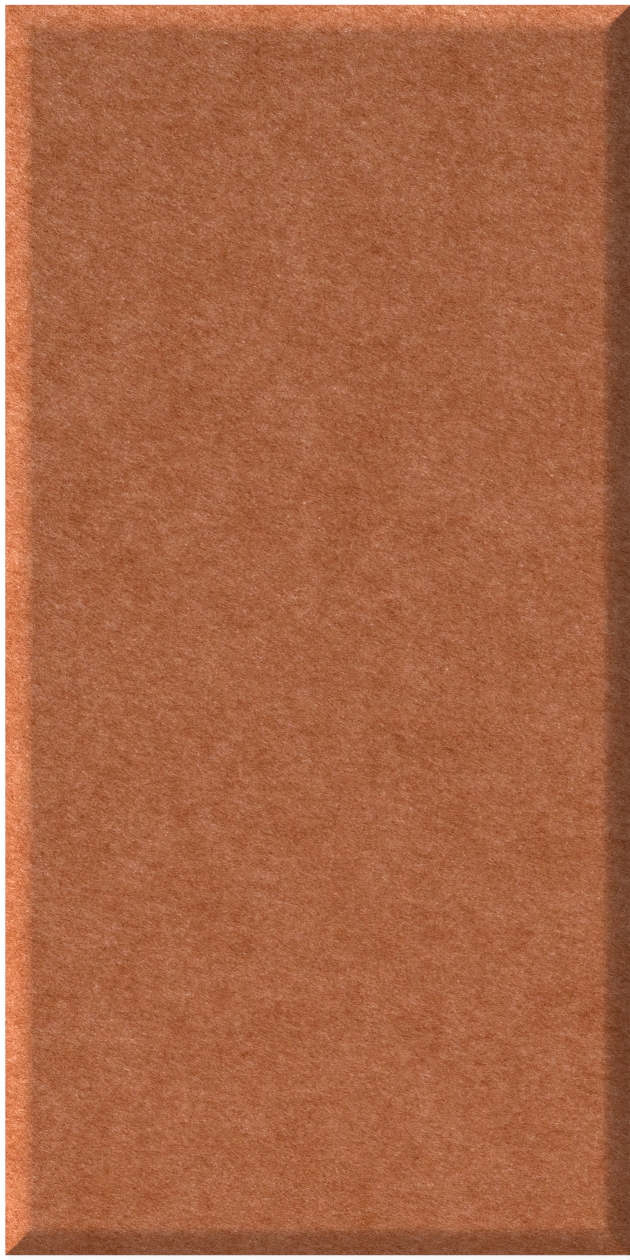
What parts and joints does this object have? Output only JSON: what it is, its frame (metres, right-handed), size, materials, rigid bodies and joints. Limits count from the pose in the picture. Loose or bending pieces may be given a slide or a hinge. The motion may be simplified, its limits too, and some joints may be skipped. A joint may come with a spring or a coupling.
{
  "type": "felt acoustic wall tile",
  "caption": "Oblong wall tile of thick pressed felt in a terracotta colour, with a flat face, soft-shouldered bevels that meet in mitres, and a flat back.",
  "frame": {"origin": "centre of the flat back face, which lies at z = 0", "axes": "+X across the tile's width, +Y along its length, +Z out of the back face, through the board and out of the face that is seen"},
  "size_m": [0.3, 0.6, 0.012],
  "materials": {
    "felt": "matte"
  },
  "bodies": {
    "root": {"felt_tile": "felt"}
  },
  "joints": []
}
